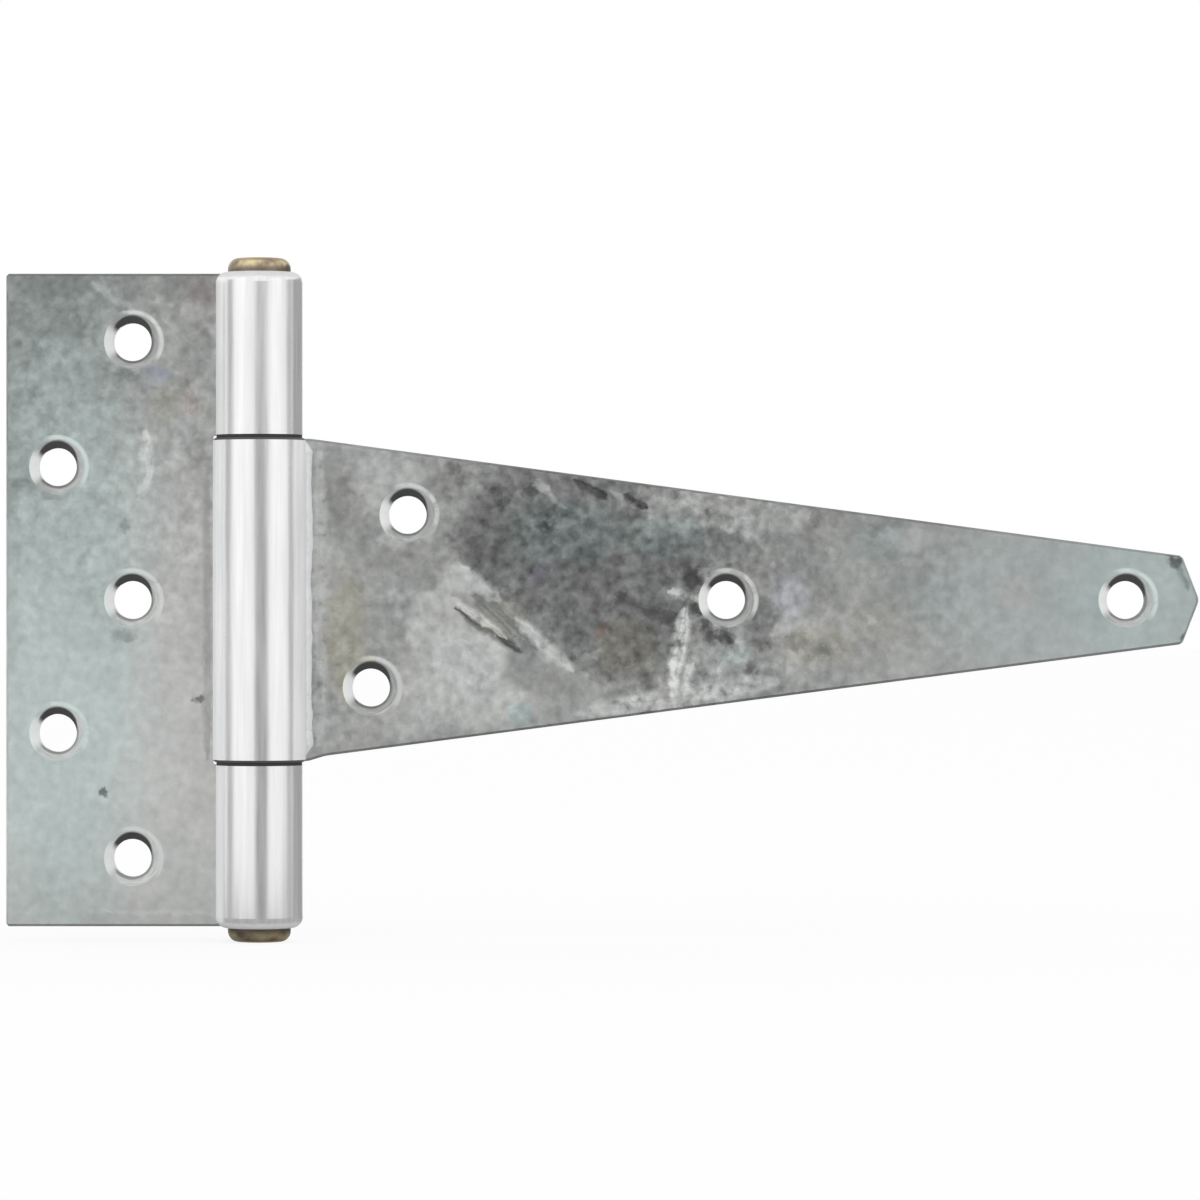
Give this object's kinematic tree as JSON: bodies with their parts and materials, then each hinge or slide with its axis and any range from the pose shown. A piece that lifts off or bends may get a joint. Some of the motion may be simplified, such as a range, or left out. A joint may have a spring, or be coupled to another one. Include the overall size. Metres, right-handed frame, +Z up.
{
  "type": "tee hinge",
  "caption": "Galvanised steel tee hinge: rectangular leaf and long tapered strap with rolled knuckles on a brass pin, countersunk screw holes.",
  "frame": {"origin": "middle screw hole of the leaf, which is the centre of its screw pattern, on the leaf's back face", "axes": "+X along the strap towards its tip, +Y into the post that the leaf is fixed to, +Z up along the pin"},
  "size_m": [0.1943, 0.0151, 0.111],
  "materials": {
    "leaf_zinc": "galvanised, dull with bright rolled knuckles",
    "strap_zinc": "galvanised, mottled grey with scratches",
    "pin_brass": "dull brass, hammered heads"
  },
  "bodies": {
    "leaf": {"jamb_leaf": "leaf_zinc", "hinge_pin": "pin_brass"},
    "strap": {"strap_leaf": "strap_zinc"}
  },
  "joints": [
    {"name": "strap_swing", "type": "hinge", "parent": "leaf", "child": "strap", "pos_m": [0.021, -0.00705, 0], "axis": [0, 0, -1], "range_deg": [-90, 180]}
  ]
}
